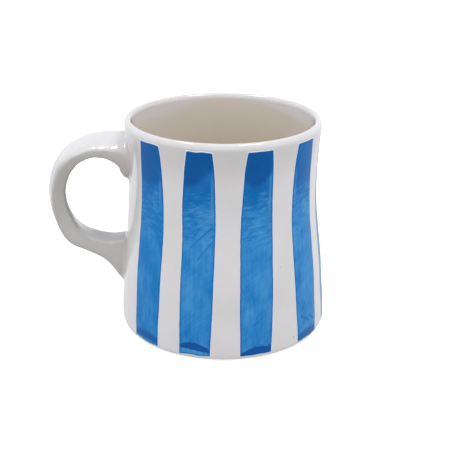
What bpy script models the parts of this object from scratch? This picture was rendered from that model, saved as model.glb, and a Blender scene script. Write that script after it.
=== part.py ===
"""Ceramic mug: a waisted cup, a strap handle luted on with slip, and nine brushed stripes.

Metres, +Z up. The mug stands on z = 0, its handle reaches towards -X, and the origin is the
middle of its footprint. Each piece is modelled about the cup's own axis and then moved to
CUP_AXIS_X.
"""

import math

import bmesh
import bpy
import numpy as np

# --- driving dimensions -------------------------------------------------------------------

MUG_HEIGHT = 0.090
WALL_THICKNESS = 0.0031
SEGMENTS = 64  # facets round the cup

# Outside of the wall, from the foot up: (height, radius).
WALL_STATIONS = (
    (0.0036, 0.0439),
    (0.0150, 0.0432),
    (0.0300, 0.0420),
    (0.0480, 0.0399),
    (0.0660, 0.0388),
    (0.0800, 0.0394),
    (0.0870, 0.0400),
)
WALL_STEP = 0.008  # height between the rings of the wall

LIP_BASE_HEIGHT = 0.0875
FOOT_OUTER_RADIUS = 0.0410
FOOT_INNER_RADIUS = 0.0365
FOOT_RECESS_RADIUS = 0.0350
FOOT_RECESS_DEPTH = 0.0022
FLOOR_HEIGHT = 0.0065  # top of the floor inside
FLOOR_CORNER_RADIUS = 0.009
ARC_STEPS = 4

# Centre line of the strap, from the upper root round to the lower root:
# (distance from the cup's axis, height, half thickness, half width, sideways
# lean in degrees, squareness). A squareness of 1 is an ellipse, less is squarer.
HANDLE_STATIONS = (
    (0.0356, 0.0717, 0.0099, 0.0115, 5.0, 0.85),
    (0.0397, 0.0745, 0.0070, 0.0112, 5.0, 0.70),
    (0.0456, 0.0763, 0.0041, 0.0106, 5.0, 0.55),
    (0.0561, 0.0757, 0.0029, 0.0103, 6.0, 0.50),
    (0.0650, 0.0703, 0.0032, 0.0090, 11.0, 0.50),
    (0.0708, 0.0580, 0.0032, 0.0074, 19.0, 0.50),
    (0.0693, 0.0445, 0.0039, 0.0068, 20.0, 0.50),
    (0.0639, 0.0359, 0.0043, 0.0066, 11.0, 0.50),
    (0.0559, 0.0324, 0.0039, 0.0061, 2.0, 0.50),
    (0.0498, 0.0305, 0.0052, 0.0065, 0.0, 0.60),
    (0.0426, 0.0280, 0.0096, 0.0073, 0.0, 0.70),
    (0.0368, 0.0250, 0.0120, 0.0080, 0.0, 0.80),
)
HANDLE_REACH = 0.0758  # from the cup's axis to the back of the strap
HANDLE_RINGS = 32
HANDLE_SIDES = 24

FIT_GAP = 0.0003  # left between pieces that touch
SLIP_THICKNESS = 0.0006
UPPER_ROOT_BAND = (0.050, 0.089)  # heights between which each root meets the wall
LOWER_ROOT_BAND = (0.006, 0.050)

# Stripe centres, in degrees from -Y towards +X, as the brush placed them.
STRIPE_ANGLES = (-41.9, -9.8, 23.5, 57.5, 88.5, 121.0, 154.0, 187.0, 220.0)
STRIPE_BOTTOM = 0.0040
STRIPE_TOP = 0.0865
STRIPE_WIDTH_AT_TOP = 0.0105
STRIPE_WIDTH = 0.0133
STRIPE_SHOULDER = 0.025  # height over which a stripe widens from its top
STRIPE_THICKNESS = 0.0003
STRIPE_COLUMNS = 4
STRIPE_ROWS = 12

# The bounding box is centred on the origin.
BODY_REACH = WALL_STATIONS[0][1] + FIT_GAP + STRIPE_THICKNESS
CUP_AXIS_X = (HANDLE_REACH - BODY_REACH) / 2

CREAM_GLAZE = (0.86, 0.85, 0.82, 1.0)
BARE_CLAY = (0.62, 0.56, 0.48, 1.0)
STRIPE_BLUE = (0.035, 0.22, 0.56, 1.0)


# --- curves -------------------------------------------------------------------------------


def smooth_curve(knots, points, at):
    """Reads a smooth curve through points, which lie at the given knots."""
    knots = np.asarray(knots, float)
    points = np.asarray(points, float)
    slopes = np.gradient(points, knots, axis=0)
    last = len(knots) - 2
    i = int(np.clip(np.searchsorted(knots, at) - 1, 0, last))
    span = knots[i + 1] - knots[i]
    t = (at - knots[i]) / span
    start = (1 + 2 * t) * (1 - t) ** 2 * points[i] + t * (1 - t) ** 2 * span * slopes[i]
    end = t**2 * (3 - 2 * t) * points[i + 1] - t**2 * (1 - t) * span * slopes[i + 1]
    return start + end


def wall_radius(height):
    """Radius of the cup's outside at a height, held level past the first and last station."""
    heights = [station[0] for station in WALL_STATIONS]
    radii = [station[1] for station in WALL_STATIONS]
    return float(smooth_curve(heights, radii, np.clip(height, heights[0], heights[-1])))


def arc(centre, semi_axes, start, end, steps=ARC_STEPS):
    """Points of an elliptical arc in the (radius, height) plane; the angles are in degrees."""
    angles = np.radians(np.linspace(start, end, steps + 1))
    return [
        (centre[0] + semi_axes[0] * math.cos(a), centre[1] + semi_axes[1] * math.sin(a))
        for a in angles
    ]


# --- building helpers ---------------------------------------------------------------------


def make_material(name, colour, roughness):
    material = bpy.data.materials.new(name)
    material.use_nodes = True
    shader = material.node_tree.nodes["Principled BSDF"]
    shader.inputs["Base Color"].default_value = colour
    shader.inputs["Roughness"].default_value = roughness
    shader.inputs["Metallic"].default_value = 0.0
    return material


def make_object(name, bm, material=None, smooth_below=40):
    """Turns a bmesh into an object on the cup's axis, shaded smooth below an edge angle."""
    mesh = bpy.data.meshes.new(name)
    bm.to_mesh(mesh)
    bm.free()
    mesh.shade_smooth()
    mesh.set_sharp_from_angle(angle=math.radians(smooth_below))
    piece = bpy.data.objects.new(name, mesh)
    piece.location.x = CUP_AXIS_X
    bpy.context.scene.collection.objects.link(piece)
    if material:
        mesh.materials.append(material)
    return piece


def revolve(profile, closed=False):
    """Spins a profile of (radius, height) points about the cup's axis."""
    bm = bmesh.new()
    verts = [bm.verts.new((radius, 0, height)) for radius, height in profile]
    pairs = list(zip(verts, verts[1:]))
    if closed:
        pairs.append((verts[-1], verts[0]))
    edges = [bm.edges.new(pair) for pair in pairs]
    bmesh.ops.spin(
        bm,
        geom=verts + edges,
        cent=(0, 0, 0),
        axis=(0, 0, 1),
        angle=2 * math.pi,
        steps=SEGMENTS,
        use_merge=True,
    )
    bmesh.ops.remove_doubles(bm, verts=bm.verts, dist=1e-6)
    bmesh.ops.recalc_face_normals(bm, faces=bm.faces)
    return bm


def hide_as_cutter(piece):
    piece.display_type = "WIRE"
    piece.hide_render = True
    return piece


def add_boolean(piece, operation, cutter):
    modifier = piece.modifiers.new(cutter.name, "BOOLEAN")
    modifier.operation = operation
    modifier.solver = "EXACT"
    modifier.object = cutter


# --- cup ----------------------------------------------------------------------------------


def wall_heights(low, high):
    """Evenly spaced heights about WALL_STEP apart, ends included."""
    steps = max(1, round((high - low) / WALL_STEP))
    return np.linspace(low, high, steps + 1)


def cup_profile():
    """Section of the cup from the middle of its underside, round the lip, to the floor."""
    foot_edge = WALL_STATIONS[0]
    points = [(0, FOOT_RECESS_DEPTH), (FOOT_RECESS_RADIUS, FOOT_RECESS_DEPTH)]
    points += [(FOOT_INNER_RADIUS, 0)]
    chamfer = (foot_edge[1] - FOOT_OUTER_RADIUS, foot_edge[0])
    points += arc((FOOT_OUTER_RADIUS, foot_edge[0]), chamfer, -90, 0)

    outside = wall_heights(foot_edge[0], LIP_BASE_HEIGHT)[1:]
    points += [(wall_radius(height), height) for height in outside]

    lip_half = WALL_THICKNESS / 2
    lip_centre = (wall_radius(LIP_BASE_HEIGHT) - lip_half, LIP_BASE_HEIGHT)
    lip = arc(lip_centre, (lip_half, MUG_HEIGHT - LIP_BASE_HEIGHT), 0, 180, 2 * ARC_STEPS)
    points += lip[1:]

    corner_height = FLOOR_HEIGHT + FLOOR_CORNER_RADIUS
    inside = wall_heights(corner_height, LIP_BASE_HEIGHT)[::-1][1:]
    points += [(wall_radius(height) - WALL_THICKNESS, height) for height in inside]

    corner_centre = points[-1][0] - FLOOR_CORNER_RADIUS
    corner = (FLOOR_CORNER_RADIUS, FLOOR_CORNER_RADIUS)
    points += arc((corner_centre, corner_height), corner, 0, -90)[1:]
    points += [(0, FLOOR_HEIGHT)]
    return points


def make_cup(material):
    return make_object("cup_body", revolve(cup_profile()), material)


# --- handle and its slip joints -------------------------------------------------------------


def strap_ring(bm, station, tangent):
    """Adds one closed section of the strap, square to the centre line."""
    reach, height, half_thickness, half_width, lean, squareness = station
    tip, turn = math.cos(math.radians(lean)), math.sin(math.radians(lean))
    along_x, along_z = tangent / np.linalg.norm(tangent)
    ring = []
    for side in range(HANDLE_SIDES):
        angle = 2 * math.pi * side / HANDLE_SIDES
        out = half_thickness * math.copysign(abs(math.cos(angle)) ** squareness, math.cos(angle))
        across = half_width * math.copysign(abs(math.sin(angle)) ** squareness, math.sin(angle))
        raised = out * tip + across * turn
        r = reach - along_z * raised
        z = height + along_x * raised
        ring.append(bm.verts.new((-r, across * tip - out * turn, z)))
    return ring


def strap_bmesh():
    """The whole strap as a closed tube, its two ends buried in the cup's wall."""
    stations = np.array(HANDLE_STATIONS)
    chords = np.linalg.norm(np.diff(stations[:, :2], axis=0), axis=1)
    knots = np.concatenate(([0], np.cumsum(chords)))
    bm = bmesh.new()
    rings = []
    for at in np.linspace(0, knots[-1], HANDLE_RINGS):
        before = smooth_curve(knots, stations, max(at - 1e-4, 0))
        after = smooth_curve(knots, stations, min(at + 1e-4, knots[-1]))
        station = smooth_curve(knots, stations, at)
        rings.append(strap_ring(bm, station, (after - before)[:2]))
    for ring, following in zip(rings, rings[1:]):
        for i in range(HANDLE_SIDES):
            j = (i + 1) % HANDLE_SIDES
            bm.faces.new((ring[i], ring[j], following[j], following[i]))
    bm.faces.new(rings[0])
    bm.faces.new(rings[-1])
    bmesh.ops.recalc_face_normals(bm, faces=bm.faces)
    return bm


def offset_wall(offset, low, high):
    """Points on the wall's outside, moved out by an offset, between two heights."""
    return [(wall_radius(height) + offset, height) for height in wall_heights(low, high)]


def make_handle(material):
    """The strap, cut back to the slip that bonds it to the wall."""
    clearance = SLIP_THICKNESS + 2 * FIT_GAP
    low, high = LOWER_ROOT_BAND[0], UPPER_ROOT_BAND[1]
    profile = [(0, low), *offset_wall(clearance, low, high), (0, high)]
    cutter = hide_as_cutter(make_object("handle_root_cutter", revolve(profile)))
    handle = make_object("handle", strap_bmesh(), material)
    add_boolean(handle, "DIFFERENCE", cutter)
    return handle


def make_slip_joint(name, band, material):
    """The slip under one root: the strap's section where it crosses a thin shell."""
    inner = offset_wall(FIT_GAP, *band)
    outer = offset_wall(FIT_GAP + SLIP_THICKNESS, *band)
    shell = hide_as_cutter(make_object(name + "_shell", revolve(inner + outer[::-1], closed=True)))
    joint = make_object(name, strap_bmesh(), material)
    add_boolean(joint, "INTERSECT", shell)
    return joint


# --- stripes --------------------------------------------------------------------------------


def stripe_half_width(height):
    """Half the stripe's width: narrow at the top, full below its shoulder."""
    t = min(1, (STRIPE_TOP - height) / STRIPE_SHOULDER)
    eased = t * t * (3 - 2 * t)
    return (STRIPE_WIDTH_AT_TOP + (STRIPE_WIDTH - STRIPE_WIDTH_AT_TOP) * eased) / 2


def make_stripe(name, degrees, material):
    """A curved strip that stands a gap off the wall, thickened outwards."""
    bm = bmesh.new()
    bmesh.ops.create_grid(bm, x_segments=STRIPE_COLUMNS, y_segments=STRIPE_ROWS, size=1)
    for vert in bm.verts:
        height = STRIPE_BOTTOM + (STRIPE_TOP - STRIPE_BOTTOM) * (vert.co.y + 1) / 2
        radius = wall_radius(height) + FIT_GAP
        angle = math.radians(degrees) + vert.co.x * stripe_half_width(height) / radius
        vert.co = (radius * math.sin(angle), -radius * math.cos(angle), height)
    stripe = make_object(name, bm, material)
    solidify = stripe.modifiers.new("thickness", "SOLIDIFY")
    solidify.thickness = STRIPE_THICKNESS
    solidify.offset = 1
    return stripe


# --- assembly -------------------------------------------------------------------------------


def clear_scene():
    for old in list(bpy.data.objects):
        bpy.data.objects.remove(old, do_unlink=True)


def main():
    clear_scene()
    glaze = make_material("cream_glaze", CREAM_GLAZE, 0.12)
    clay = make_material("clay_slip", BARE_CLAY, 0.85)
    blue = make_material("stripe_blue", STRIPE_BLUE, 0.18)

    make_cup(glaze)
    make_handle(glaze)
    make_slip_joint("upper_slip_joint", UPPER_ROOT_BAND, clay)
    make_slip_joint("lower_slip_joint", LOWER_ROOT_BAND, clay)
    for number, degrees in enumerate(STRIPE_ANGLES, start=1):
        make_stripe(f"painted_stripe_{number}", degrees, blue)


main()
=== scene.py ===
# A striped ceramic mug: glazed cup, strap handle and nine brushed stripes, on a pale studio floor.
import math

import bmesh
import bpy
import numpy as np
from mathutils import Matrix, Vector, noise


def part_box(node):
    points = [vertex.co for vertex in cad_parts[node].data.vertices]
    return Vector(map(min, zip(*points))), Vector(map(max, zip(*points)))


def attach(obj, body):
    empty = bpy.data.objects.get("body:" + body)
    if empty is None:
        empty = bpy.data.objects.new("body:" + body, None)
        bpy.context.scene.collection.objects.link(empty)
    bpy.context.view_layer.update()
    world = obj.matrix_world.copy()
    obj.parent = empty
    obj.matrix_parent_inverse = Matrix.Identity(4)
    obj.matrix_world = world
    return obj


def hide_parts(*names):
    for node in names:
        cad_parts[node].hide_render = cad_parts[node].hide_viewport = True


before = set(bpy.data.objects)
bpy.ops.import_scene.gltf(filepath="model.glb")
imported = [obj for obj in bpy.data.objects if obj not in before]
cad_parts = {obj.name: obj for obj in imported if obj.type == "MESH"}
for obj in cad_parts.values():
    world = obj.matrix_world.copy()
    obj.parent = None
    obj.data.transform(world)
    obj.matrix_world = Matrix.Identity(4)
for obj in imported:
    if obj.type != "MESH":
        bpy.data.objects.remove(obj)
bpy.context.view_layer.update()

cupLow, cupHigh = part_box("cup_body")
axisX = (cupLow.x + cupHigh.x) / 2  # the cup's axis is vertical and crosses y = 0
mugHeight = cupHigh.z
mm = 0.001


# ---- curves and wall coordinates


def smoothCurve(knots, points, at):
    # a smooth line through points that lie at the given knots
    knots = np.asarray(knots, float)
    points = np.asarray(points, float)
    slopes = np.gradient(points, knots, axis=0)
    i = int(np.clip(np.searchsorted(knots, at) - 1, 0, len(knots) - 2))
    span = knots[i + 1] - knots[i]
    t = (at - knots[i]) / span
    start = (1 + 2 * t) * (1 - t) ** 2 * points[i] + t * (1 - t) ** 2 * span * slopes[i]
    end = t**2 * (3 - 2 * t) * points[i + 1] - t**2 * (1 - t) * span * slopes[i + 1]
    return start + end


def smoothStep(low, high, value):
    t = min(1.0, max(0.0, (value - low) / (high - low)))
    return t * t * (3 - 2 * t)


def wobble(seed, at, size):
    return size * noise.noise(Vector((at, seed * 7.31, seed * 2.17)))


def arcPoints(centre, radii, start, end, steps):
    angles = np.radians(np.linspace(start, end, steps + 1))
    return [(centre[0] + radii[0] * math.cos(a), centre[1] + radii[1] * math.sin(a)) for a in angles]


cup = {
    "wallHeights": (3.6, 9, 18, 30, 42, 54, 66, 76, 84, 87.5),  # mm, up the outside
    "wallRadii": (43.93, 43.7, 42.94, 41.98, 40.52, 39.23, 38.84, 39.14, 39.73, 40.07),  # mm
    "wall": 3.1 * mm,
    "lipBase": 87.5 * mm,
    "standOuter": 41.0 * mm,
    "standInner": 37.0 * mm,
    "recessRadius": 34.6 * mm,
    "recessDepth": 2.2 * mm,
    "bareClayTop": 1.3 * mm,  # the glaze stops here, with a small rolled edge
    "glazeRoll": 0.3 * mm,
    "floorTop": 6.5 * mm,
    "floorCorner": 9 * mm,
    # how strong the painted shade is on the wall just under the lip
    "paintedShadeUnderLip": 0.22,
    "handlePull": 0.8 * mm,  # how far the wall was drawn out between the handle's roots
    "lipPull": 0.55 * mm,  # and the lip above them
    "turns": 192,
}


def wallRadius(height):
    low, high = cup["wallHeights"][0], cup["wallHeights"][-1]
    at = min(high, max(low, height / mm))
    return float(smoothCurve(cup["wallHeights"], cup["wallRadii"], at)) * mm


def outOfRound(angle, height):
    # how far the wall stands out of its round, on the handle's side
    off = math.remainder(angle + math.pi / 2, 2 * math.pi)
    pull = cup["handlePull"] * math.exp(-((off / 0.42) ** 2) - ((height / mm - 54) / 12) ** 2)
    return pull + cup["lipPull"] * math.exp(-((off / 0.5) ** 2)) * smoothStep(74 * mm, 86 * mm, height)


def wallPoint(angle, height, proud=0.0):
    # angle runs from the front, -Y, towards +X
    radius = wallRadius(height) + outOfRound(angle, height) + proud
    return Vector((axisX + radius * math.sin(angle), -radius * math.cos(angle), height))


# ---- node helpers


def startMaterial(name):
    material = bpy.data.materials.new(name)
    material.use_nodes = True
    tree = material.node_tree
    return material, tree, tree.nodes["Principled BSDF"]


def addNode(tree, kind, inputs=(), **settings):
    node = tree.nodes.new(kind)
    for key, value in settings.items():
        setattr(node, key, value)
    for key, value in dict(inputs).items():
        if isinstance(value, bpy.types.NodeSocket):
            tree.links.new(value, node.inputs[key])
        else:
            node.inputs[key].default_value = value
    return node


def calc(tree, operation, a, b=0.0, c=0.0, clamp=False):
    inputs = {0: a, 1: b}
    if operation == "MULTIPLY_ADD":
        inputs[2] = c
    return addNode(tree, "ShaderNodeMath", inputs, operation=operation, use_clamp=clamp).outputs[0]


def rampUp(tree, value, low, high):
    # 0 below low, 1 above high, eased between; low may be the larger to turn it round
    node = addNode(
        tree,
        "ShaderNodeMapRange",
        {"Value": value, "From Min": low, "From Max": high},
        interpolation_type="SMOOTHSTEP",
        clamp=True,
    )
    return node.outputs["Result"]


def mixColour(tree, factor, a, b, blend="MIX"):
    node = tree.nodes.new("ShaderNodeMix")
    node.data_type = "RGBA"
    node.blend_type = blend
    for key, value in ((0, factor), (6, a), (7, b)):
        if isinstance(value, bpy.types.NodeSocket):
            tree.links.new(value, node.inputs[key])
        else:
            node.inputs[key].default_value = value
    return node.outputs[2]


def noiseAt(tree, vector, scale, detail=2.0, roughness=0.5):
    inputs = {"Vector": vector, "Scale": scale, "Detail": detail, "Roughness": roughness}
    return addNode(tree, "ShaderNodeTexNoise", inputs).outputs["Fac"]


def srgb(red, green, blue):
    # a colour as a screen shows it, from 0 to 255, turned to linear light
    linear = []
    for channel in (red, green, blue):
        c = channel / 255
        linear.append(c / 12.92 if c <= 0.04045 else ((c + 0.055) / 1.055) ** 2.4)
    return (*linear, 1.0)


# ---- glaze and clay

glazeLook = {
    "cream": srgb(226, 224, 222),
    "creamThick": srgb(222, 219, 214),  # where the glaze pooled a little
    "blush": srgb(228, 220, 219),
    # warm painted shade inside the cup, its tone changing between the heights given next
    "innerShadeWarm": srgb(222, 213, 200),
    # painted shade, greying the handle's sides and the wall under the lip
    "paintedShadeTone": srgb(168, 164, 153),
    "innerShadeDeep": srgb(230, 219, 203),
    "innerShadeDeepens": (84 * mm, 62 * mm),  # the heights between which it does
    "speck": srgb(120, 92, 66),
    "speckCells": 170.0,
    "speckShare": 0.09,  # of the cells
    "waves": 0.2,
    "roughness": 0.12,
    "coat": 1.0,
}


def makeCreamGlaze():
    material, tree, shader = startMaterial("creamGlaze")
    position = addNode(tree, "ShaderNodeTexCoord").outputs["Object"]

    cloud = noiseAt(tree, position, 38.0, 3.0)
    tone = mixColour(tree, rampUp(tree, cloud, 0.38, 0.66), glazeLook["cream"], glazeLook["creamThick"])
    blush = rampUp(tree, noiseAt(tree, position, 55.0, 3.0, 0.6), 0.45, 0.7)
    tone = mixColour(tree, blush, tone, glazeLook["blush"])
    # painted shade from an attribute: on the handle's sides and inner face, and on the wall under the lip
    paintedShade = addNode(tree, "ShaderNodeAttribute", attribute_name="paintedShade").outputs["Fac"]
    tone = mixColour(tree, paintedShade, tone, glazeLook["paintedShadeTone"])
    # painted shade inside the cup: a warm tint, left off a pale band under the rim, which is a painted
    # reflection
    paintedInnerShade = addNode(tree, "ShaderNodeAttribute", attribute_name="paintedInnerShade").outputs["Fac"]
    height = addNode(tree, "ShaderNodeSeparateXYZ", {"Vector": position}).outputs["Z"]
    deeper = rampUp(tree, height, *glazeLook["innerShadeDeepens"])
    innerShadeTone = mixColour(tree, deeper, glazeLook["innerShadeWarm"], glazeLook["innerShadeDeep"])
    tone = mixColour(tree, paintedInnerShade, tone, innerShadeTone)

    # a few iron specks and pinholes, each a small dot in a cell of its own
    spread = {"Vector": position, "Scale": glazeLook["speckCells"], "Randomness": 1.0}
    cells = addNode(tree, "ShaderNodeTexVoronoi", spread)
    chosen = addNode(tree, "ShaderNodeSeparateColor", {"Color": cells.outputs["Color"]})
    rarest = 1 - glazeLook["speckShare"]
    rare = rampUp(tree, chosen.outputs["Red"], rarest - 0.01, rarest + 0.01)
    size = calc(tree, "MULTIPLY_ADD", chosen.outputs["Green"], 0.05, 0.03)
    dot = calc(tree, "LESS_THAN", cells.outputs["Distance"], size)
    speck = calc(tree, "MULTIPLY", dot, rare)
    faint = calc(tree, "MULTIPLY", speck, calc(tree, "MULTIPLY_ADD", chosen.outputs["Blue"], 0.35, 0.1))
    tone = mixColour(tree, faint, tone, glazeLook["speck"])
    tree.links.new(tone, shader.inputs["Base Color"])

    # the glaze lies in long soft waves, with a faint orange peel
    waves = noiseAt(tree, position, 60.0, 2.0)
    peel = noiseAt(tree, position, 900.0, 2.0)
    relief = calc(tree, "ADD", waves, calc(tree, "MULTIPLY", peel, 0.05))
    relief = calc(tree, "SUBTRACT", relief, calc(tree, "MULTIPLY", speck, 0.4))
    surface = {"Height": relief, "Strength": glazeLook["waves"], "Distance": 0.4 * mm}
    bump = addNode(tree, "ShaderNodeBump", surface)
    tree.links.new(bump.outputs["Normal"], shader.inputs["Normal"])
    rough = calc(tree, "MULTIPLY_ADD", cloud, 0.08, glazeLook["roughness"] - 0.04)
    tree.links.new(rough, shader.inputs["Roughness"])
    shader.inputs["Coat Weight"].default_value = glazeLook["coat"]
    shader.inputs["Coat Roughness"].default_value = 0.02
    return material


clayLook = {
    "light": srgb(158, 150, 140),
    "dark": srgb(112, 104, 94),
}


def makeBareClay(name):
    material, tree, shader = startMaterial(name)
    position = addNode(tree, "ShaderNodeTexCoord").outputs["Object"]
    grain = noiseAt(tree, position, 2600.0, 3.0, 0.7)
    patch = noiseAt(tree, position, 160.0, 3.0)
    tone = mixColour(tree, rampUp(tree, patch, 0.35, 0.65), clayLook["light"], clayLook["dark"])
    tone = mixColour(tree, calc(tree, "MULTIPLY", grain, 0.5), tone, clayLook["dark"])
    tree.links.new(tone, shader.inputs["Base Color"])
    bump = addNode(tree, "ShaderNodeBump", {"Height": grain, "Strength": 0.5, "Distance": 0.08 * mm})
    tree.links.new(bump.outputs["Normal"], shader.inputs["Normal"])
    shader.inputs["Roughness"].default_value = 0.9
    return material


# ---- blue brushwork

paintLook = {
    "deep": srgb(0, 84, 156),
    "start": srgb(0, 88, 158),
    "second": srgb(0, 108, 182),
    "body": srgb(12, 122, 194),
    "light": srgb(78, 158, 216),
    "outline": srgb(8, 74, 140),
    "fringe": srgb(226, 233, 246),  # where the blue bled into the glaze beside the stroke
    "fringeWidth": 0.35,  # mm
    "roughness": 0.18,
    "shine": 0.13,  # specular level
}


def makeStripePaint(name, values):
    material, tree, shader = startMaterial(name)
    flat = addNode(tree, "ShaderNodeUVMap", uv_map="brush").outputs["UV"]  # millimetres
    parts = addNode(tree, "ShaderNodeSeparateXYZ", {"Vector": flat})
    across, up = parts.outputs["X"], parts.outputs["Y"]
    seed = values["seed"] * 37.0

    def stretched(alongAcross, alongUp, turn=0.0):
        # brush coordinates with the hairs' marks drawn out along one way
        start = {"Vector": flat, "Angle": -turn}
        turned = addNode(tree, "ShaderNodeVectorRotate", start, rotation_type="Z_AXIS")
        mapping = addNode(tree, "ShaderNodeMapping", {"Vector": turned.outputs["Vector"]})
        mapping.inputs["Location"].default_value = (seed, seed * 0.37, seed * 0.11)
        mapping.inputs["Scale"].default_value = (alongAcross, alongUp, 1)
        return mapping.outputs["Vector"]

    def weighted(value, weight):
        return calc(tree, "MULTIPLY", calc(tree, "SUBTRACT", value, 0.5), weight)

    def times(*factors):
        product = factors[0]
        for factor in factors[1:]:
            product = calc(tree, "MULTIPLY", product, factor)
        return product

    def nearLine(x0, y0, x1, y1, width):
        # 1 on a thin brush scratch from one point to the other, 0 off it
        run = Vector((x1 - x0, y1 - y0, 0))
        ends = {0: flat, 1: (x0, y0, 0)}
        offset = addNode(tree, "ShaderNodeVectorMath", ends, operation="SUBTRACT").outputs[0]
        ahead = {0: offset, 1: run / run.length_squared}
        share = addNode(tree, "ShaderNodeVectorMath", ahead, operation="DOT_PRODUCT").outputs["Value"]
        share = calc(tree, "ADD", share, 0.0, clamp=True)
        reached = {0: run, "Scale": share}
        foot = addNode(tree, "ShaderNodeVectorMath", reached, operation="SCALE").outputs[0]
        apart = {0: offset, 1: foot}
        gap = addNode(tree, "ShaderNodeVectorMath", apart, operation="DISTANCE").outputs["Value"]
        return rampUp(tree, gap, width, width * 0.3)

    # how light the wash is: cloudy, with level hair marks above and upright ones below
    clouds = noiseAt(tree, stretched(0.16, 0.10), 1.0, 4.0, 0.6)
    levelMarks = noiseAt(tree, stretched(0.24, 0.85, values["slant"] * 0.3), 1.0, 4.0, 0.62)
    uprightMarks = noiseAt(tree, stretched(1.3, 0.06), 1.0, 3.0, 0.6)
    fineMarks = noiseAt(tree, stretched(4.0, 0.14), 1.0, 2.0)
    slantMarks = noiseAt(tree, stretched(0.13, 1.5, values["slant"]), 1.0, 3.0, 0.6)
    band = times(rampUp(tree, up, 44.0, 54.0), rampUp(tree, up, 78.0, 70.0))
    marks = times(weighted(levelMarks, 2.4), band)
    marks = calc(tree, "ADD", marks, times(weighted(uprightMarks, 0.9), calc(tree, "SUBTRACT", 1.0, band)))
    wash = calc(tree, "ADD", values["wash"], weighted(clouds, 1.7))
    wash = calc(tree, "ADD", wash, marks)
    wash = calc(tree, "ADD", wash, weighted(slantMarks, values["slantShow"]))
    wash = calc(tree, "ADD", wash, weighted(fineMarks, 0.2), clamp=True)
    tone = mixColour(tree, wash, paintLook["body"], paintLook["light"])

    # the second wash under the start of the stroke, broken up by level marks
    bow = calc(tree, "MULTIPLY", across, across)
    secondEdge = calc(tree, "MULTIPLY_ADD", across, values["startTilt"] * 0.4, values["secondHeight"])
    secondEdge = calc(tree, "ADD", secondEdge, weighted(levelMarks, 22.0))
    second = rampUp(tree, calc(tree, "SUBTRACT", up, secondEdge), -7.0, 5.0)
    tone = mixColour(tree, times(second, 0.85), tone, paintLook["second"])

    # a lighter run of thin colour beside the edge
    run = times(
        rampUp(tree, calc(tree, "ABSOLUTE", calc(tree, "SUBTRACT", across, values["thinRun"])), 1.0, 0.1),
        rampUp(tree, up, 58.0, 66.0),
        rampUp(tree, up, 80.0, 74.0),
    )
    tone = mixColour(tree, times(run, 0.55), tone, paintLook["light"])

    # the loaded brush started dark, and its patch ends in a slanting bow
    startEdge = calc(tree, "MULTIPLY_ADD", across, values["startTilt"], values["startHeight"])
    startEdge = calc(tree, "ADD", startEdge, times(bow, values["startBow"]))
    startEdge = calc(tree, "ADD", startEdge, weighted(clouds, 4.0))
    above = calc(tree, "SUBTRACT", up, startEdge)
    startLift = times(rampUp(tree, clouds, 0.4, 0.75), 0.4)
    startTone = mixColour(tree, startLift, paintLook["start"], paintLook["second"])
    tone = mixColour(tree, times(rampUp(tree, above, -2.5, 1.5), values["startShow"]), tone, startTone)

    # dark scratches, then the colour that pooled in a lens where the stroke ended
    for scratch in values["scratches"]:
        tone = mixColour(tree, times(nearLine(*scratch), 0.7), tone, paintLook["second"])
    poolMiddle = calc(tree, "MULTIPLY_ADD", across, values["poolTilt"], values["poolHeight"])
    poolMiddle = calc(tree, "ADD", poolMiddle, times(bow, values["poolBow"]))
    poolMiddle = calc(tree, "ADD", poolMiddle, weighted(uprightMarks, 0.8))
    ragged = rampUp(tree, noiseAt(tree, stretched(1.6, 0.35, 0.2), 1.0, 3.0, 0.7), 0.5, 0.75)
    belowPool = calc(tree, "SUBTRACT", poolMiddle, up)
    thinned = times(rampUp(tree, belowPool, 0.8, 2.0), rampUp(tree, uprightMarks, 0.35, 0.65))
    tone = mixColour(tree, times(thinned, values["poolUnder"]), tone, paintLook["light"])
    depth = calc(tree, "MULTIPLY_ADD", across, values["poolSwell"], values["poolDepth"])
    depth = calc(tree, "SUBTRACT", depth, times(bow, values["poolEnds"]))
    rise = calc(tree, "ADD", depth, times(ragged, values["poolRagged"]))
    soft = values["poolSoft"]
    underTop = rampUp(tree, calc(tree, "ADD", belowPool, rise), -soft, soft)
    overEnd = rampUp(tree, calc(tree, "SUBTRACT", belowPool, depth), soft, -soft)
    tone = mixColour(tree, times(underTop, overEnd, values["poolShow"]), tone, paintLook["deep"])

    # a thin darker line where the wash dried at the edges
    edge = addNode(tree, "ShaderNodeAttribute", attribute_name="edge").outputs["Fac"]
    edge = calc(tree, "SUBTRACT", edge, paintLook["fringeWidth"])
    tone = mixColour(tree, times(rampUp(tree, edge, 1.4, 0.3), 0.3), tone, paintLook["second"])
    tone = mixColour(tree, times(rampUp(tree, edge, 0.5, 0.2), 0.65), tone, paintLook["outline"])
    tone = mixColour(tree, rampUp(tree, edge, 0.06, -0.06), tone, paintLook["fringe"])
    tree.links.new(tone, shader.inputs["Base Color"])

    relief = calc(tree, "ADD", times(marks, 0.3), times(clouds, 0.6))
    bump = addNode(tree, "ShaderNodeBump", {"Height": relief, "Strength": 0.25, "Distance": 0.1 * mm})
    tree.links.new(bump.outputs["Normal"], shader.inputs["Normal"])
    shader.inputs["Roughness"].default_value = paintLook["roughness"]
    shader.inputs["Specular IOR Level"].default_value = paintLook["shine"]
    return material


# ---- making objects


def finishPiece(name, bm, materials, sharpAngle=50):
    mesh = bpy.data.meshes.new(name)
    bm.to_mesh(mesh)
    bm.free()
    mesh.shade_smooth()
    mesh.set_sharp_from_angle(angle=math.radians(sharpAngle))
    for material in materials:
        mesh.materials.append(material)
    piece = bpy.data.objects.new(name, mesh)
    bpy.context.scene.collection.objects.link(piece)
    return piece


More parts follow.
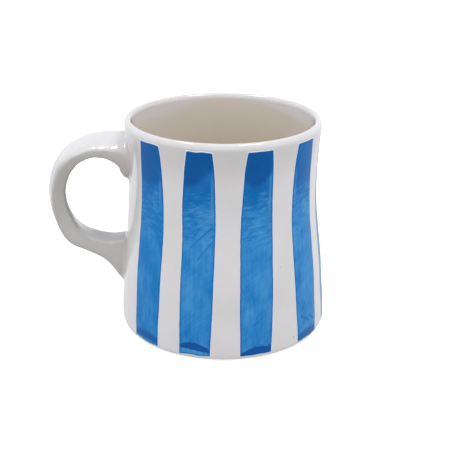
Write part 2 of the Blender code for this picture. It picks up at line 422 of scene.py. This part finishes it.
def cupSection():
    # (radius, height) from the middle of the underside, round the lip, to the middle of the floor
    stand, roll = cup["bareClayTop"], cup["glazeRoll"]
    low = cup["wallHeights"][0] * mm
    recess, depth = cup["recessRadius"], cup["recessDepth"]
    points = [(0, depth), (recess * 0.5, depth), (recess - 1.2 * mm, depth)]
    points += arcPoints((recess - 1.2 * mm, depth - 1.2 * mm), (1.2 * mm, 1.2 * mm), 90, 20, 4)[1:]
    points += arcPoints((cup["standInner"], 0.6 * mm), (0.6 * mm, 0.6 * mm), 200, 270, 4)
    points += arcPoints((cup["standOuter"], 0.5 * mm), (0.5 * mm, 0.5 * mm), -90, -30, 4)
    bareEdge = (points[-1][0] + 1.3 * mm, stand)
    points += [((points[-1][0] + bareEdge[0]) / 2, (points[-1][1] + stand) / 2), bareEdge]
    rollCentre = (bareEdge[0] + roll, stand + roll * 0.6)
    points += arcPoints(rollCentre, (roll, roll), -170, -50, 6)
    shoulder = Vector(points[-1])
    top = Vector((wallRadius(low), low))
    corner = Vector((top.x - 0.05 * mm, shoulder.y + 0.6 * mm))
    for t in (i / 8 for i in range(1, 9)):
        bent = (1 - t) ** 2 * shoulder + 2 * t * (1 - t) * corner + t * t * top
        points.append((bent.x, bent.y))

    steps = 64
    outside = np.linspace(low, cup["lipBase"], steps)[1:]
    points += [(wallRadius(height), height) for height in outside]
    half = cup["wall"] / 2
    lipCentre = (wallRadius(cup["lipBase"]) - half, cup["lipBase"])
    points += arcPoints(lipCentre, (half, mugHeight - cup["lipBase"]), 0, 180, 24)[1:]

    cornerTop = cup["floorTop"] + cup["floorCorner"]
    inside = np.linspace(cup["lipBase"], cornerTop, steps)[1:]
    points += [(wallRadius(height) - cup["wall"], height) for height in inside]
    cornerCentre = (points[-1][0] - cup["floorCorner"], cornerTop)
    points += arcPoints(cornerCentre, (cup["floorCorner"],) * 2, 0, -90, 16)[1:]
    for share in (0.66, 0.33, 0.0):
        points.append((cornerCentre[0] * share, cup["floorTop"]))
    return points


def makeCup(glaze, clay):
    bm = bmesh.new()
    verts = [bm.verts.new((axisX + radius, 0, height)) for radius, height in cupSection()]
    edges = [bm.edges.new(pair) for pair in zip(verts, verts[1:])]
    bmesh.ops.spin(
        bm,
        geom=verts + edges,
        cent=(axisX, 0, 0),
        axis=(0, 0, 1),
        angle=2 * math.pi,
        steps=cup["turns"],
        use_merge=True,
    )
    bmesh.ops.remove_doubles(bm, verts=bm.verts, dist=0.002 * mm)
    bmesh.ops.recalc_face_normals(bm, faces=bm.faces)

    # inside, a warm painted shade lies below a pale band under the rim; the band reaching lower at the
    # sides is a painted reflection
    paintedInnerShade = bm.verts.layers.float.new("paintedInnerShade")
    paintedShade = bm.verts.layers.float.new("paintedShade")
    for vert in bm.verts:
        radius = math.hypot(vert.co.x - axisX, vert.co.y)
        angle = math.atan2(vert.co.x - axisX, -vert.co.y)
        depthIn = wallRadius(vert.co.z) - radius  # how far in from the outside
        inside = smoothStep(0.55 * cup["wall"], 0.95 * cup["wall"], depthIn)
        uneven = noise.noise(Vector((2.4 * math.sin(angle), 2.4 * math.cos(angle), 5.0)))
        # painted reflection: how far the pale band reaches down under the rim, further at the sides
        paintedReflectionDepth = 2.6 + 4.5 * math.sin(angle) ** 2 + 2.5 * uneven
        below = smoothStep(mugHeight - (paintedReflectionDepth - 1.0) * mm, mugHeight - (paintedReflectionDepth + 1.5) * mm, vert.co.z)
        above = smoothStep(cup["recessDepth"], cup["floorTop"], vert.co.z)
        vert[paintedInnerShade] = inside * below * above
        # painted shade on the outside just under the lip, where the wall leans out
        nearLip = smoothStep(70 * mm, 84 * mm, vert.co.z) * smoothStep(88.6 * mm, 87.2 * mm, vert.co.z)
        vert[paintedShade] = cup["paintedShadeUnderLip"] * nearLip * (1 - inside)
        pull = outOfRound(angle, vert.co.z) * smoothStep(28 * mm, 34 * mm, radius)
        vert.co.x += pull * math.sin(angle)
        vert.co.y -= pull * math.cos(angle)
    for face in bm.faces:
        middle = face.calc_center_median()
        radius = math.hypot(middle.x - axisX, middle.y)
        if middle.z < cup["bareClayTop"] and radius > cup["recessRadius"]:
            face.material_index = 1
    return finishPiece("mugCup", bm, [glaze, clay])


# ---- handle

handle = {
    # from the cup's axis out, height, half thickness, half width, all in mm, then the lean in
    # degrees and how square the section is, where 1 makes it an ellipse
    "stations": (
        (35.6, 71.7, 9.9, 11.5, 5.0, 0.85),
        (39.7, 74.5, 7.0, 11.2, 5.0, 0.70),
        (45.6, 76.3, 4.1, 10.6, 5.0, 0.55),
        (56.1, 75.7, 2.9, 10.3, 6.0, 0.50),
        (65.0, 70.3, 3.2, 9.0, 11.0, 0.50),
        (70.8, 58.0, 3.2, 7.4, 19.0, 0.50),
        (69.3, 44.5, 3.9, 6.8, 20.0, 0.50),
        (63.9, 35.9, 4.3, 6.6, 11.0, 0.50),
        (55.9, 32.4, 3.9, 6.1, 2.0, 0.50),
        (49.8, 30.5, 5.2, 6.5, 0.0, 0.60),
        (42.6, 28.0, 9.6, 7.3, 0.0, 0.70),
        (36.8, 25.0, 12.0, 8.0, 0.0, 0.80),
    ),
    "sides": 96,
    "rings": 140,
    "wave": 0.12,  # mm, how far the pulled clay swells and sinks
    "twist": 2.5,  # degrees
    "filletStart": 1.6 * mm,  # off the wall, where the strap starts to flare on to it
    "filletReach": 1.8 * mm,
    "filletUnder": 1.3,  # how much longer it is under the upper arm, as a share of its own length
    "filletRings": 8,
    "buried": 0.4 * mm,
}


def sectionTurns(count):
    # places round the section, set closer where the sides are flat
    quarter = []
    for step in range(count // 4):
        share = step / (count // 4)
        quarter.append(math.pi / 2 * share**2 / (share**2 + (1 - share) ** 2))
    return [turn + side * math.pi / 2 for side in range(4) for turn in quarter]


def strapPoint(knots, stations, at, turn):
    here = smoothCurve(knots, stations, at)
    ahead = smoothCurve(knots, stations, min(at + 0.05, knots[-1]))
    behind = smoothCurve(knots, stations, max(at - 0.05, knots[0]))
    flow = Vector((ahead - behind)[:2]).normalized()
    swell = 1.0 + wobble(3.0 + round(math.cos(turn)), at / 9.0, handle["wave"]) / float(here[2])
    power = float(here[5])
    out = math.copysign(abs(math.cos(turn)) ** power, math.cos(turn)) * float(here[2]) * swell
    across = math.copysign(abs(math.sin(turn)) ** power, math.sin(turn)) * float(here[3])
    lean = math.radians(float(here[4]) + wobble(9, at / 3.5, handle["twist"]))
    leant = Vector((out, across)) @ Matrix.Rotation(lean, 2)
    reach = float(here[0]) - flow.y * leant.x
    height = float(here[1]) + flow.x * leant.x
    return Vector((axisX - reach * mm, leant.y * mm, height * mm))


def wallCoords(point):
    return math.atan2(point.x - axisX, -point.y), point.z


def offWall(point):
    angle, height = wallCoords(point)
    return math.hypot(point.x - axisX, point.y) - wallRadius(height) - outOfRound(angle, height)


def findStart(place, inWall, clear, gap):
    # the place along one side line of the strap where it is just this gap off the wall
    for _ in range(40):
        middle = (inWall + clear) / 2
        if offWall(place(middle)) < gap:
            inWall = middle
        else:
            clear = middle
    return clear


def filletPoints(start, onWall, away, reach):
    # from the strap's side, curving down on to the wall and away from the root's middle
    angle, height = wallCoords(onWall)
    radius = wallRadius(height)

    def onCup(run, proud):
        return wallPoint(angle + away.x * run / radius, height + away.y * run, proud)

    rim = onCup(reach, 0.01 * mm)
    corner = wallPoint(angle, height)
    points = []
    for step in range(1, handle["filletRings"] + 1):
        t = step / handle["filletRings"]
        points.append((1 - t) ** 2 * start + 2 * t * (1 - t) * corner + t * t * rim)
    return points + [onCup(1.3 * reach, -handle["buried"])]


def makeHandle(glaze):
    stations = np.array(handle["stations"])
    chords = np.linalg.norm(np.diff(stations[:, :2], axis=0), axis=1)
    knots = np.concatenate(([0], np.cumsum(chords)))
    middle = knots[-1] / 2
    turns = sectionTurns(handle["sides"])
    lines = []
    for turn in turns:

        def place(at):
            return strapPoint(knots, stations, at, turn)

        longer = 1 + handle["filletUnder"] * max(0.0, -math.cos(turn))
        upper = findStart(place, knots[0], middle, handle["filletStart"])
        lower = findStart(place, knots[-1], middle, handle["filletStart"])
        upperHit = findStart(place, knots[0], middle, 0.0)
        lowerHit = findStart(place, knots[-1], middle, 0.0)
        body = [place(at) for at in np.linspace(upper, lower, handle["rings"])]
        reaches = {"upperHit": handle["filletReach"] * longer, "lowerHit": handle["filletReach"]}
        hits = {"upperHit": place(upperHit), "lowerHit": place(lowerHit)}
        lines.append({"body": body, **hits, "reach": reaches})

    rootMiddles = {}
    for key in ("upperHit", "lowerHit"):
        coords = [wallCoords(line[key]) for line in lines]
        angle = math.atan2(sum(math.sin(a) for a, _ in coords), sum(math.cos(a) for a, _ in coords))
        rootMiddles[key] = (angle, sum(h for _, h in coords) / len(coords))

    for line in lines:
        for key in rootMiddles:
            angle, height = wallCoords(line[key])
            sideways = (angle - rootMiddles[key][0] + math.pi) % (2 * math.pi) - math.pi
            away = Vector((sideways * wallRadius(height), height - rootMiddles[key][1])).normalized()
            start = line["body"][0] if key == "upperHit" else line["body"][-1]
            line[key] = filletPoints(start, line[key], away, line["reach"][key])
    columns = [line["upperHit"][::-1] + line["body"] + line["lowerHit"] for line in lines]

    # one ring of vertices, extruded from station to station and set in place each time
    bm = bmesh.new()
    ring = bmesh.ops.create_circle(bm, segments=handle["sides"], radius=1, cap_ends=False)["verts"]
    ring.sort(key=lambda vert: math.atan2(vert.co.y, vert.co.x) % (2 * math.pi))
    edges = list(bm.edges)
    for vert, column in zip(ring, columns):
        vert.co = column[0]
    bmesh.ops.contextual_create(bm, geom=edges)
    for step in range(1, len(columns[0])):
        order = {vert: i for i, vert in enumerate(ring)}
        grown = bmesh.ops.extrude_edge_only(bm, edges=edges)["geom"]
        edges = [item for item in grown if isinstance(item, bmesh.types.BMEdge)]
        edges = [edge for edge in edges if not any(vert in order for vert in edge.verts)]
        fresh = [None] * len(ring)
        for vert in (item for item in grown if isinstance(item, bmesh.types.BMVert)):
            beside = [edge.other_vert(vert) for edge in vert.link_edges]
            fresh[next(order[partner] for partner in beside if partner in order)] = vert
        ring = fresh
        for vert, column in zip(ring, columns):
            vert.co = column[step]
    bmesh.ops.contextual_create(bm, geom=edges)
    bmesh.ops.recalc_face_normals(bm, faces=bm.faces)

    # painted shade: the handle's sides, its inner face and its lower arm are greyed, less where they face
    # up
    paintedShade = bm.verts.layers.float.new("paintedShade")
    bm.normal_update()
    middle = Vector((axisX - 52 * mm, 0, 52 * mm))
    for vert in bm.verts:
        outwards = (vert.co - middle).normalized().dot(vert.normal)
        inner = smoothStep(0.2, 0.8, -outwards) * smoothStep(0.8, 0.3, vert.normal.z)
        lowOnIt = smoothStep(79 * mm, 65 * mm, vert.co.z)
        side = smoothStep(0.75, 0.25, outwards)
        faceUp = smoothStep(0.3, 0.8, vert.normal.z)
        vert[paintedShade] = (0.55 + 0.15 * lowOnIt) * side + 0.8 * lowOnIt * (1 - side) + 0.35 * inner
        vert[paintedShade] *= (1 - 0.75 * faceUp) * (0.78 + 0.22 * smoothStep(30 * mm, 48 * mm, vert.co.z))
    return finishPiece("mugHandle", bm, [glaze])


# ---- stripes

brushwork = {
    "bottom": 2.5 * mm,
    "top": 87.2 * mm,
    "widthHeights": (3, 10, 25, 40, 55, 70, 80, 87),  # mm
    "widths": (13.0, 13.2, 13.6, 13.5, 13.1, 12.0, 11.3, 9.8),  # mm, without the pale fringe
    "edgeWobble": 0.16 * mm,
    "edgeTremor": 0.08 * mm,
    "endWobble": 0.35 * mm,
    "thickness": 0.10 * mm,
    "edgeThickness": 0.03 * mm,
    "edgeRound": 0.6 * mm,
    "buried": 0.25 * mm,
    "columns": 24,
    "rows": 150,
}

# what every stroke has unless its own entry says otherwise; heights and distances in mm, turns in radians
plainStroke = {
    "bow": 0.0,  # degrees, how far the middle of the stroke stands off the line between its ends
    "width": 1.0,
    "swell": 0.0,  # mm, how much wider the stroke is round the height that follows
    "swellHeight": 66.0,
    "swellShift": 0.0,  # mm, how far the swelling moves the stroke's middle
    "wash": 0.42,
    "slant": 0.6,
    "slantShow": 0.3,
    "startHeight": 77.0,
    "startTilt": 0.5,
    "startBow": 0.0,
    "startShow": 1.0,
    "secondHeight": 66.0,
    "thinRun": 5.0,
    "poolHeight": 6.0,
    "poolTilt": -0.2,
    "poolBow": -0.03,
    "poolDepth": 1.3,
    "poolSwell": 0.0,
    "poolEnds": 0.015,
    "poolRagged": 0.5,
    "poolSoft": 0.3,
    "poolShow": 0.95,
    "poolUnder": 0.5,
    "scratches": (),  # each one's two ends, across and up, and its half width
}

# angle from the front towards +X, and how far the top leans the same way, in degrees
stripes = [
    {"angle": -41.4, "lean": 0.6, "bow": -0.9, "width": 1.06, "wash": 0.16, "slant": -0.5,
     "startHeight": 70.5, "startTilt": 0.1, "startBow": 0.04, "startShow": 0.75,
     "poolHeight": 5.6, "poolTilt": 0.0, "poolBow": -0.02, "poolDepth": 1.7, "poolEnds": 0.01,
     "poolSoft": 0.9, "poolShow": 0.75, "poolUnder": 0.7},
    {"angle": -9.8, "lean": 2.2, "width": 0.99, "swell": 0.9, "swellShift": -0.35,
     "slant": 0.75, "slantShow": 0.8, "startHeight": 75.4, "startTilt": 0.7, "startBow": 0.055,
     "poolHeight": 6.7, "poolTilt": -0.10, "poolDepth": 1.6, "poolEnds": 0.022, "poolSoft": 0.2,
     "poolUnder": 0.8,
     "scratches": (
         (-3.3, 47.8, 5.4, 56.8, 0.4),
         (0.0, 43.6, 5.6, 51.0, 0.35),
         (-2.6, 51.4, 0.4, 55.8, 0.3),
     )},
    {"angle": 23.4, "lean": 2.8, "width": 1.02, "slantShow": 0.7,
     "startHeight": 73.0, "startTilt": 0.3, "startBow": 0.17,
     "poolHeight": 4.1, "poolTilt": 0.06, "poolDepth": 2.2, "poolSwell": 0.03, "poolEnds": 0.012,
     "poolRagged": 3.4, "poolSoft": 0.25, "poolUnder": 0.0,
     "scratches": ((-1.0, 16.0, 0.5, 17.0, 0.5),)},
    {"angle": 57.5, "lean": -0.2, "width": 1.035, "wash": 0.5, "slant": 0.8, "slantShow": 1.5,
     "thinRun": -5.0, "startHeight": 70.5, "startTilt": 0.2, "startBow": 0.03, "startShow": 0.25,
     "poolHeight": 4.6, "poolTilt": 0.0, "poolDepth": 2.2, "poolEnds": 0.0, "poolRagged": 2.0,
     "poolSoft": 0.9, "poolShow": 0.7, "poolUnder": 0.0,
     "scratches": ((-4.0, 13.5, 1.0, 10.0, 0.9), (1.5, 12.0, 5.0, 9.0, 0.8))},
    {"angle": 88.5, "lean": 3.4, "slant": -0.6},
    {"angle": 121.0, "lean": -1.0, "width": 0.98, "startTilt": -0.6, "poolTilt": 0.28, "slant": 0.4},
    {"angle": 154.0, "lean": 0.8, "width": 1.02, "slant": 0.7, "startHeight": 78.5,
     "poolTilt": 0.1, "poolDepth": 1.5},
    {"angle": 187.0, "lean": -1.6, "width": 0.99, "slant": -0.5, "thinRun": -5.0, "startHeight": 75.5,
     "poolTilt": -0.3},
    {"angle": 220.0, "lean": 1.2, "width": 1.01, "startTilt": -0.4, "poolHeight": 5.7, "poolTilt": 0.22},
]


def stripePlace(values, across, share):
    # across runs from -1 to 1 and share from 0 at the bottom to 1 at the top
    seed = values["seed"]
    low = brushwork["bottom"] + wobble(seed + 20, across * 1.5, brushwork["endWobble"])
    high = brushwork["top"] + wobble(seed + 40, across * 1.5, brushwork["endWobble"])
    height = low + (high - low) * share
    width = float(smoothCurve(brushwork["widthHeights"], brushwork["widths"], height / mm)) * mm
    side = 1 if across > 0 else 2
    tremble = wobble(seed + side * 3.7, height / (14 * mm), brushwork["edgeWobble"])
    tremble += wobble(seed + side * 5.1, height / (1.6 * mm), brushwork["edgeTremor"])
    swelling = math.exp(-(((height / mm - values["swellHeight"]) / 14) ** 2)) * mm
    width = width * values["width"] + values["swell"] * swelling
    width += 2 * paintLook["fringeWidth"] * mm
    offset = across * width / 2 + abs(across) * tremble + values["swellShift"] * swelling
    rise = 2 * height / mugHeight - 1
    angle = math.radians(values["angle"] + values["lean"] * rise / 2 + values["bow"] * (1 - rise * rise))
    fromSide = (1 - abs(across)) * width / 2
    fromEnd = min(share, 1 - share) * (high - low)
    full = smoothStep(0, brushwork["edgeRound"], min(fromSide, fromEnd))
    proud = brushwork["edgeThickness"] + (brushwork["thickness"] - brushwork["edgeThickness"]) * full
    point = wallPoint(angle + offset / wallRadius(height), height, proud)
    return point, (offset / mm, height / mm), min(fromSide, fromEnd) / mm


def makeStripe(number, values):
    bm = bmesh.new()
    bmesh.ops.create_grid(bm, x_segments=brushwork["columns"], y_segments=brushwork["rows"], size=1)
    edge = bm.verts.layers.float.new("edge")
    uv = bm.loops.layers.uv.new("brush")
    flat = {}
    for vert in bm.verts:
        across = math.sin(vert.co.x * math.pi / 2)  # closer columns at the edges
        point, flat[vert], vert[edge] = stripePlace(values, across, (vert.co.y + 1) / 2)
        vert.co = point
    for face in bm.faces:
        for loop in face.loops:
            loop[uv].uv = flat[loop.vert]
    name = f"brushedStripe{number}"
    stripe = finishPiece(name, bm, [makeStripePaint(f"{name}Blue", values)])
    solidify = stripe.modifiers.new("paintBody", "SOLIDIFY")
    solidify.thickness = brushwork["buried"]
    solidify.offset = -1
    return stripe


# ---- studio

studio = {
    "cameraAround": 4.2,  # degrees from the front towards +X
    "cameraDistance": 359.85 * mm,
    "cameraHeight": 189.73 * mm,
    "cameraDown": 22.338,  # degrees
    "cameraAside": 0.126,
    "cameraRoll": 0.333,
    "lens": 72.73,
    "floor": srgb(250, 250, 250),
    "floorGlow": 0.8,
    "skyAbove": (0.50, 0.53, 0.58, 1.0),
    "skyLevel": (0.92, 0.94, 1.0, 1.0),
    "skyBelow": (0.58, 0.56, 0.54, 1.0),
    "skyStrength": 1.0,
    # where each lamp hangs, in m, its width and depth, its power, and if it only makes highlights;
    # the others only light
    "lamps": {
        "lampLeft": ((-0.30, -0.10, 0.80), 0.24, 0.24, 2.2, False),
        "lampRight": ((0.30, -0.10, 0.80), 0.24, 0.24, 2.2, False),
        "shineLeft": ((-0.30, -0.02, 0.80), 0.30, 0.06, 1.2, True),
        "shineRight": ((0.30, -0.24, 0.78), 0.30, 0.06, 1.2, True),
    },
}


def makeCamera():
    lens = bpy.data.cameras.new("mugCamera")
    lens.lens = studio["lens"]
    lens.sensor_width = 36
    lens.clip_start = 0.01
    camera = bpy.data.objects.new("mugCamera", lens)
    around, down, aside, roll = (
        math.radians(studio[key]) for key in ("cameraAround", "cameraDown", "cameraAside", "cameraRoll")
    )
    turn = Matrix.Rotation(around - aside, 4, "Z") @ Matrix.Rotation(math.pi / 2 - down, 4, "X")
    distance = studio["cameraDistance"]
    place = (axisX + distance * math.sin(around), -distance * math.cos(around), studio["cameraHeight"])
    camera.matrix_world = Matrix.Translation(place) @ turn @ Matrix.Rotation(roll, 4, "Z")
    bpy.context.scene.collection.objects.link(camera)
    bpy.context.scene.camera = camera


def makeSky():
    # soft light from all round: bright and cool overhead, dimmer and warmer from below
    world = bpy.data.worlds.new("studioSky")
    world.use_nodes = True
    tree = world.node_tree
    around = addNode(tree, "ShaderNodeTexCoord").outputs["Generated"]
    way = addNode(tree, "ShaderNodeSeparateXYZ", {"Vector": around})
    rising = rampUp(tree, way.outputs["Z"], -0.9, 0.0)
    level = mixColour(tree, rising, studio["skyBelow"], studio["skyLevel"])
    whole = mixColour(tree, rampUp(tree, way.outputs["Z"], 0.0, 0.7), level, studio["skyAbove"])
    sky = tree.nodes["Background"]
    tree.links.new(whole, sky.inputs["Color"])
    sky.inputs["Strength"].default_value = studio["skyStrength"]
    bpy.context.scene.world = world


def makeStudio():
    bpy.context.scene.view_settings.view_transform = "Standard"
    makeCamera()
    makeSky()
    for name, (place, width, depth, power, onlyShine) in studio["lamps"].items():
        light = bpy.data.lights.new(name, "AREA")
        light.shape = "RECTANGLE"
        light.size = width
        light.size_y = depth
        light.energy = power
        lamp = bpy.data.objects.new(name, light)
        lamp.location = Vector(place) + Vector((axisX, 0, 0))
        aim = Vector((axisX, 0, mugHeight / 2)) - lamp.location
        lamp.rotation_euler = aim.to_track_quat("-Z", "Y").to_euler()
        lamp.visible_diffuse = not onlyShine
        lamp.visible_glossy = onlyShine
        bpy.context.scene.collection.objects.link(lamp)

    bm = bmesh.new()
    bmesh.ops.create_grid(bm, x_segments=2, y_segments=2, size=6)
    material, tree, shader = startMaterial("paleFloor")
    shader.inputs["Base Color"].default_value = studio["floor"]
    shader.inputs["Roughness"].default_value = 0.9
    shader.inputs["Emission Color"].default_value = studio["floor"]
    shader.inputs["Emission Strength"].default_value = studio["floorGlow"]
    floor = finishPiece("studioFloor", bm, [material])
    floor.visible_diffuse = False  # it glows for the eye and leaves the light from below to the sky
    floor.visible_glossy = False
    floor.visible_shadow = False


# ---- assembly

print("studio")
makeStudio()
creamGlaze = makeCreamGlaze()
bareClay = makeBareClay("bareClay")

print("cup")
mugCup = makeCup(creamGlaze, bareClay)
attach(mugCup, "root")
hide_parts("cup_body")

print("handle")
mugHandle = makeHandle(creamGlaze)
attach(mugHandle, "root")
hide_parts("handle")
slipClay = makeBareClay("slipClay")
for nodeName in ("upper_slip_joint", "lower_slip_joint"):
    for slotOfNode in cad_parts[nodeName].material_slots:
        slotOfNode.material = slipClay

print("stripes")
for number, ownValues in enumerate(stripes, start=1):
    stripe = makeStripe(number, {**plainStroke, **ownValues, "seed": number})
    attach(stripe, "root")
    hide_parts(f"painted_stripe_{number}")
